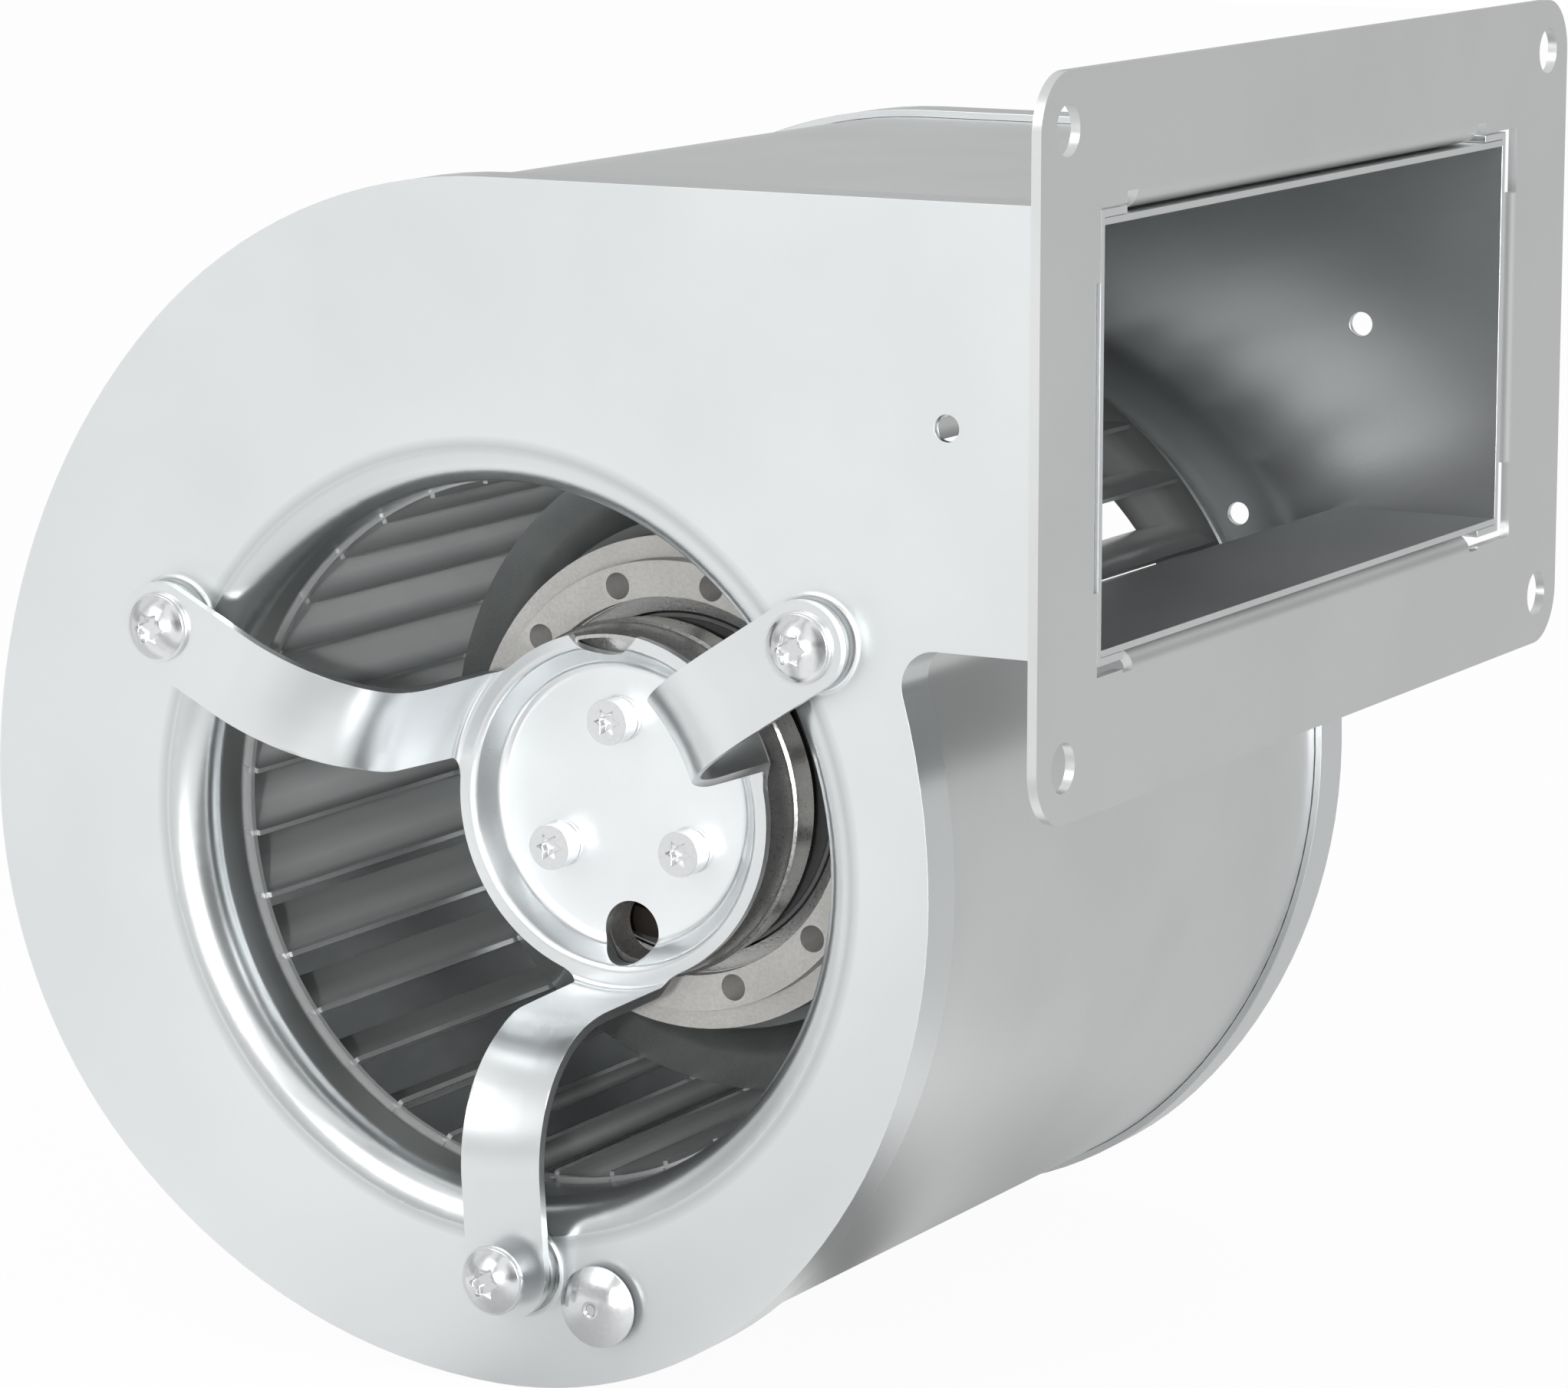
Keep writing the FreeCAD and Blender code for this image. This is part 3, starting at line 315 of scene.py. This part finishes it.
families = [(zinc, zincSpec), (castMetal, castSpec), (smoothMetal, smoothSpec), (dullPlastic, plasticSpec)]
materials = {name: make(name, spec) for make, specs in families for name, spec in specs.items()}
print("materials made")


bodyOf = {node: body for body, nodes in frame["record"]["behaviour"]["bodies"].items() for node in nodes}

# Inner faces turn inwards by more than a share (facing) and take a painted shade finish. In the wrap's
# duct they look towards the duct's middle, and in the rotor cup they are the faces within its bore.
innerSpec = {"facing": 0.3, "ductStart": -0.048, "ductLow": -0.0335, "boreReach": 0.0312, "boreFacing": -0.5}


def facesIn(face, node):
    if node == "near_side_panel":
        return face.normal.y > innerSpec["facing"]
    if node == "far_side_panel":
        return face.normal.y < -innerSpec["facing"]
    spot = face.calc_center_median()
    if node != "rotor_cup" and spot.x > innerSpec["ductStart"] and spot.z > innerSpec["ductLow"]:
        return face.normal.z * spot.z < 0
    toAxis = wheelAxis - spot
    toAxis.y = 0
    if node == "rotor_cup":
        return toAxis.length < innerSpec["boreReach"] and face.normal.y > innerSpec["boreFacing"]
    return face.normal.dot(toAxis.normalized()) > innerSpec["facing"]


# Lengths in metres, angles in degrees
skinSpec = {"merge": 0.000002, "flatten": 0.3, "corner": 32.0, "segments": 2, "weight": 50}


# A copy of a CAD solid with merged corners, worn edges and shading weighted to its flat faces
def dress(node, spec):
    mesh = frame["nodes"][node].data.copy()
    mesh.name = f"{node}_skin"
    corner = math.radians(skinSpec["corner"])
    bm = bmesh.new()
    bm.from_mesh(mesh)
    bmesh.ops.remove_doubles(bm, verts=bm.verts, dist=skinSpec["merge"])
    bmesh.ops.dissolve_limit(bm, angle_limit=math.radians(skinSpec["flatten"]), verts=bm.verts,
                             edges=bm.edges, delimit={"NORMAL"})
    for face in bm.faces:
        face.smooth = True
        face.material_index = int("inner" in spec and facesIn(face, node))
    if "bevel" in spec:
        sharp = [edge for edge in bm.edges if edge.is_manifold and edge.calc_face_angle(0) > corner]
        bmesh.ops.bevel(bm, geom=sharp, offset=spec["bevel"], offset_type="OFFSET", affect="EDGES",
                        segments=skinSpec["segments"], profile=0.5, material=-1, clamp_overlap=True)
    bm.to_mesh(mesh)
    bm.free()
    mesh.set_sharp_from_angle(angle=corner)
    mesh.materials.clear()
    mesh.materials.append(materials[spec["outer"]])
    if "inner" in spec:
        mesh.materials.append(materials[spec["inner"]])
    piece = bpy.data.objects.new(f"{node}_skin", mesh)
    scene.collection.objects.link(piece)
    weigh = piece.modifiers.new("weighted_normals", "WEIGHTED_NORMAL")
    weigh.weight = skinSpec["weight"]
    weigh.keep_sharp = True
    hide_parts(node)
    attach(piece, bodyOf[node])


def paint(node, material):
    for place in frame["nodes"][node].material_slots:
        place.material = material


# The pieces that show, each with its finish and the width of its worn edges
finishes = {
    "near_side_panel": {"outer": "panelZinc", "inner": "insideZinc", "bevel": 0.0004},
    "far_side_panel": {"outer": "panelZinc", "inner": "insideZinc", "bevel": 0.0004},
    "scroll_wrap": {"outer": "wrapZinc", "inner": "insideZinc"},
    "outlet_flange": {"outer": "flangeZinc", "bevel": 0.00015},
    "spider_bracket": {"outer": "bracketZinc", "bevel": 0.0001},
    "bracket_screws": {"outer": "brightZincScrew", "bevel": 0.00012},
    "motor_screws": {"outer": "brightZincScrew", "bevel": 0.00015},
    "motor_screw_washers": {"outer": "brightZincScrew", "bevel": 0.0001},
    "panel_plug": {"outer": "brightZincScrew"},
    "motor_end_cover": {"outer": "castAluminium", "bevel": 0.0002},
    "rotor_cup": {"outer": "sandyRotorCasting", "inner": "darkRotorBore", "bevel": 0.0002},
    "blades": {"outer": "wheelZinc"},
    "near_end_ring": {"outer": "wheelZinc"},
    "far_end_ring": {"outer": "wheelZinc"},
    "impeller_web": {"outer": "webZinc"},
}
for node, spec in finishes.items():
    dress(node, spec)

# The nodes inside the motor keep their CAD shape: a word of the name gives the finish, and the empty
# word at the end fits the rest
hidden = {"winding": "windingCopper", "insulator": "blackInsulator", "core": "coreSteel",
          "cage": "castAluminium", "": "brightZincScrew"}
for node in frame["nodes"]:
    if node not in finishes:
        finish = next(hidden[word] for word in hidden if word in node)
        paint(node, materials[finish])
print("pieces dressed")


# Floor, backdrop and room. The room has a level of light for each turn about Z, where 0 is -X, 0.25 is
# -Y, 0.5 is +X and 0.75 is +Y, and for each height, where 0.5 is the horizon and 1 is straight up.
# Near its middle, under the object, the floor has a painted shadow, seen by all but the camera.
stageSpec = {"size": 6.0, "gap": 0.0002, "middle": (-0.1, 0.0), "near": [(0.06, 0.75), (0.10, 1.0)],
             "paintedShadowTone": (0.35, 0.35, 0.35), "pale": (0.95, 0.95, 0.95), "rough": 0.9, "white": 0.95,
             "rise": [(0.50, 1.0), (0.54, 0.62), (0.63, 0.62), (0.70, 1.0)],
             "room": [(0.0, 0.85), (0.06, 0.70), (0.09, 0.70), (0.12, 1.0), (0.155, 0.97),
                      (0.185, 0.86), (0.21, 0.86), (0.245, 0.58), (0.275, 0.62), (0.31, 1.0),
                      (0.37, 1.0), (0.41, 0.35), (0.46, 0.35), (0.53, 0.9), (0.60, 0.60),
                      (0.79, 0.60), (0.83, 0.75), (1.0, 0.80)]}


# The room's level for a direction given by its X and Y: a turn from -pi to pi becomes 0 to 1
def roomLevel(net, east, north, spec):
    turn = net.calculate("ARCTAN2", north, east)
    return net.ramp(turn * (0.5 / math.pi) + 0.5, spec["room"])


# Nearly white to the camera, with a faint shadow; metal sees the room's levels and other light sees pale grey,
# both with the painted shadow near the middle
def addFloor(spec, low):
    bm = bmesh.new()
    bmesh.ops.create_grid(bm, x_segments=1, y_segments=1, size=spec["size"] / 2)
    bmesh.ops.translate(bm, verts=bm.verts, vec=(0, 0, low - spec["gap"]))
    mesh = bpy.data.meshes.new("floor")
    bm.to_mesh(mesh)
    bm.free()
    floor = bpy.data.objects.new("floor", mesh)
    scene.collection.objects.link(floor)
    net = Net(bpy.data.materials.new("floorWhite"))
    east = net.axis("X") - spec["middle"][0]
    north = net.axis("Y") - spec["middle"][1]
    # Painted shadow: darker near the middle, under the object
    near = net.ramp(net.distance(east, north), spec["near"])
    net.set("Base Color", net.mix(near, spec["paintedShadowTone"], spec["pale"]))
    net.set("Roughness", spec["rough"])
    net.set("Specular IOR Level", 0.0)
    seen = net.add("ShaderNodeLightPath", {}, {}, "Is Camera Ray")
    mirrored = net.add("ShaderNodeLightPath", {}, {}, "Is Glossy Ray")
    level = seen + mirrored * roomLevel(net, east, north, spec) * near
    glow = net.add("ShaderNodeEmission", {}, {"Color": level})
    shade = Wire(net, net.tree.nodes["Principled BSDF"].outputs[0])
    both = net.add("ShaderNodeMixShader", {}, {0: seen * spec["white"] + mirrored, 1: shade, 2: glow})
    net.plug(net.tree.nodes["Material Output"].inputs["Surface"], both)
    mesh.materials.append(net.owner)


# White behind the object; the metal sees the same room as on the floor, darker just over the horizon
def addWorld(spec):
    net = Net(bpy.data.worlds.new("studio"), "Generated")
    scene.world = net.owner
    level = roomLevel(net, net.axis("X"), net.axis("Y"), spec)
    level = level * net.ramp(net.axis("Z") * 0.5 + 0.5, spec["rise"])
    room = net.tree.nodes["Background"]
    net.plug(room.inputs["Color"], level)
    white = net.add("ShaderNodeBackground", {}, {"Color": (1, 1, 1)})
    seen = net.add("ShaderNodeLightPath", {}, {}, "Is Camera Ray")
    both = net.add("ShaderNodeMixShader", {}, {0: seen, 1: Wire(net, room.outputs[0]), 2: white})
    net.plug(net.tree.nodes["World Output"].inputs["Surface"], both)


# Two square lamps, and a narrow beam into the near inlet for the blades alone: metres and watts
keyLamp = {"place": (-0.5, -1.3, 0.9), "target": (-0.08, -0.05, -0.05), "size": 0.9, "power": 4}
inletLamp = {"place": (0.30, -1.15, 0.02), "target": (-0.155, -0.03, -0.07), "size": 0.5, "power": 9}
inletBeam = {"place": (0.36, -1.0, 0.12), "target": (wheelAxis.x, nearPanelFace, wheelAxis.z),
             "radius": 0.053, "blend": 0.15, "soft": 0.02, "power": 30}


def rayOf(spec):
    return Vector(spec["target"]) - Vector(spec["place"])


def addLight(data, spec):
    data.energy = spec["power"]
    light = bpy.data.objects.new(data.name, data)
    light.location = spec["place"]
    light.rotation_euler = rayOf(spec).to_track_quat("-Z", "Y").to_euler()
    scene.collection.objects.link(light)


def addLamp(name, spec):
    data = bpy.data.lights.new(name, "AREA")
    data.size = spec["size"]
    addLight(data, spec)


def addBeam(name, spec):
    data = bpy.data.lights.new(name, "SPOT")
    data.spot_size = 2 * math.atan(spec["radius"] / rayOf(spec).length)
    data.spot_blend = spec["blend"]
    data.shadow_soft_size = spec["soft"]
    addLight(data, spec)


addFloor(stageSpec, cadBox[0][2])
addWorld(stageSpec)
addLamp("keyLamp", keyLamp)
addLamp("inletLamp", inletLamp)
addBeam("inletBeam", inletBeam)
print("stage and lamps placed")
